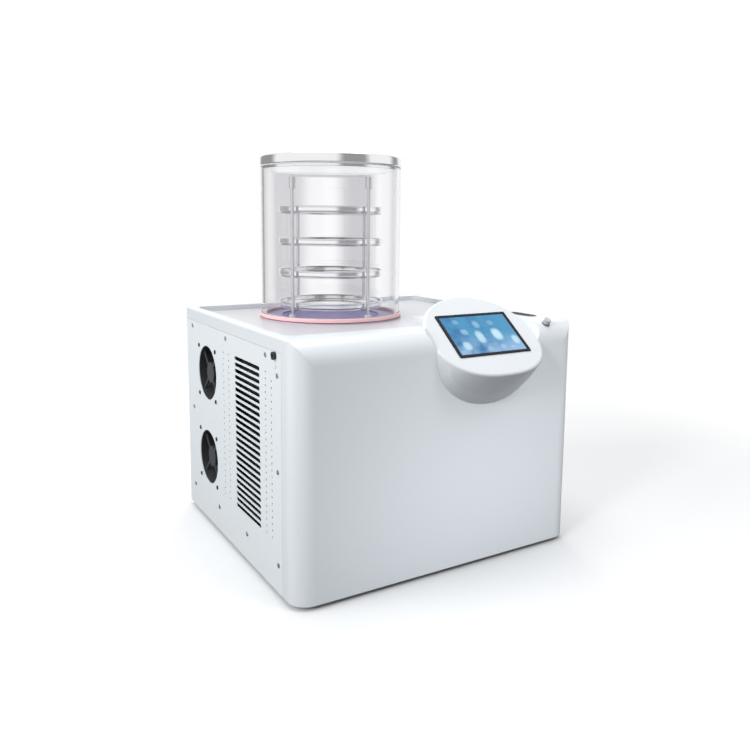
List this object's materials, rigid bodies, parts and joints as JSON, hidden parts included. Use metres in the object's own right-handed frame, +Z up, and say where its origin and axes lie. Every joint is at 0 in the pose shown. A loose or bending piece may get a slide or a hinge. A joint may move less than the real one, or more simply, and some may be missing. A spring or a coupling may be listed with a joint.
{
  "type": "freeze dryer",
  "caption": "Bench-top freeze dryer: cabinet with a sunk cold trap, a clear drying chamber with a tray rack, a tilted touch screen pod and cooling fans.",
  "frame": {"origin": "centre of the cabinet's footprint on the surface that it stands on", "axes": "+X to the right along the front, +Y to the back, +Z up"},
  "size_m": [0.632, 0.6954, 0.788],
  "materials": {
    "cover_white": "smooth moulded white with a soft gloss",
    "sheet_white": "white powder coat",
    "galvanised": "galvanised sheet",
    "black_rubber": "matt",
    "screw_steel": "plated",
    "black_screw": "black oxide",
    "fan_black": "moulded",
    "fan_blade": "moulded, slightly shiny",
    "stainless": "brushed",
    "tray_steel": "polished",
    "collar_blue": "satin",
    "foam": "open cut foam",
    "copper": "drawn copper tube",
    "gasket_red": "satin silicone",
    "clear_acrylic": "polished",
    "lid_chrome": "bright turned edge",
    "seal_grey": "clear silicone",
    "foot_white": "nylon",
    "screen_black": "gloss",
    "display": "lit display behind glass",
    "board_green": "lacquered board",
    "compressor_black": "gloss black enamel",
    "condenser_dark": "dark coated fins",
    "drier_copper": "spun copper",
    "lever_red": "moulded",
    "brass": "turned",
    "valve_dark": "moulded",
    "knob_grey": "moulded",
    "port_black": "moulded",
    "pin_metal": "plated"
  },
  "bodies": {
    "cabinet": {"base_pan": "galvanised", "rubber_feet": "black_rubber", "frame_posts": "galvanised", "side_rails": "galvanised", "outer_cover": "cover_white", "pod_shell": "cover_white", "left_panel": "sheet_white", "right_panel": "sheet_white", "rear_panel": "sheet_white", "side_screws": "screw_steel", "rear_screws": "screw_steel", "fan_screws": "black_screw", "fan_frame_upper": "fan_black", "fan_frame_lower": "fan_black", "cold_trap": "stainless", "trap_port": "stainless", "trap_collar": "collar_blue", "trap_foam": "foam", "evaporator_coil": "copper", "base_gasket": "gasket_red", "chamber_cylinder": "clear_acrylic", "chamber_lid": "lid_chrome", "lid_seal": "seal_grey", "rack_frame": "stainless", "rack_handle": "stainless", "rack_feet": "foot_white", "tray_1": "tray_steel", "tray_2": "tray_steel", "tray_3": "tray_steel", "tray_4": "tray_steel", "screen_bezel": "screen_black", "screen_glass": "display", "screen_board": "board_green", "compressor": "compressor_black", "compressor_grommets": "black_rubber", "condenser_coil": "condenser_dark", "filter_drier": "drier_copper", "discharge_pipe": "copper", "liquid_pipe": "copper", "suction_pipe": "copper", "vacuum_pipe": "stainless", "vacuum_clamp": "stainless", "drain_pipe": "foot_white", "drain_valve": "stainless", "electrics_bracket": "galvanised", "power_supply": "galvanised", "board_standoffs": "brass", "control_board": "board_green", "vent_valve": "valve_dark", "grip_insert": "valve_dark", "service_port": "port_black", "hole_plug": "foot_white", "power_inlet": "port_black", "inlet_pins": "pin_metal", "switch_housing": "port_black"},
    "fan_rotor_upper": {"fan_rotor_upper": "fan_blade"},
    "fan_rotor_lower": {"fan_rotor_lower": "fan_blade"},
    "vent_knob": {"vent_knob": "knob_grey"},
    "drain_lever": {"drain_lever": "lever_red"},
    "switch_rocker": {"switch_rocker": "lever_red"}
  },
  "joints": [
    {"name": "fan_upper_spin", "type": "hinge", "parent": "cabinet", "child": "fan_rotor_upper", "pos_m": [-0.3, 0.1525, 0.334], "axis": [1, 0, 0], "continuous": true},
    {"name": "fan_lower_spin", "type": "hinge", "parent": "cabinet", "child": "fan_rotor_lower", "pos_m": [-0.3, 0.1525, 0.15], "axis": [1, 0, 0], "continuous": true},
    {"name": "vent_knob_turn", "type": "hinge", "parent": "cabinet", "child": "vent_knob", "pos_m": [0.2465, -0.27026, 0.45562], "axis": [0, -0.5299, 0.848], "range_deg": [0, 270]},
    {"name": "drain_lever_turn", "type": "hinge", "parent": "cabinet", "child": "drain_lever", "pos_m": [-0.058, 0.308, 0.108], "axis": [0, 0, 1], "range_deg": [0, 90]},
    {"name": "switch_rocker_tilt", "type": "hinge", "parent": "cabinet", "child": "switch_rocker", "pos_m": [0.19, 0.284, 0.132], "axis": [0, 0, 1], "range_deg": [0, 20]}
  ]
}
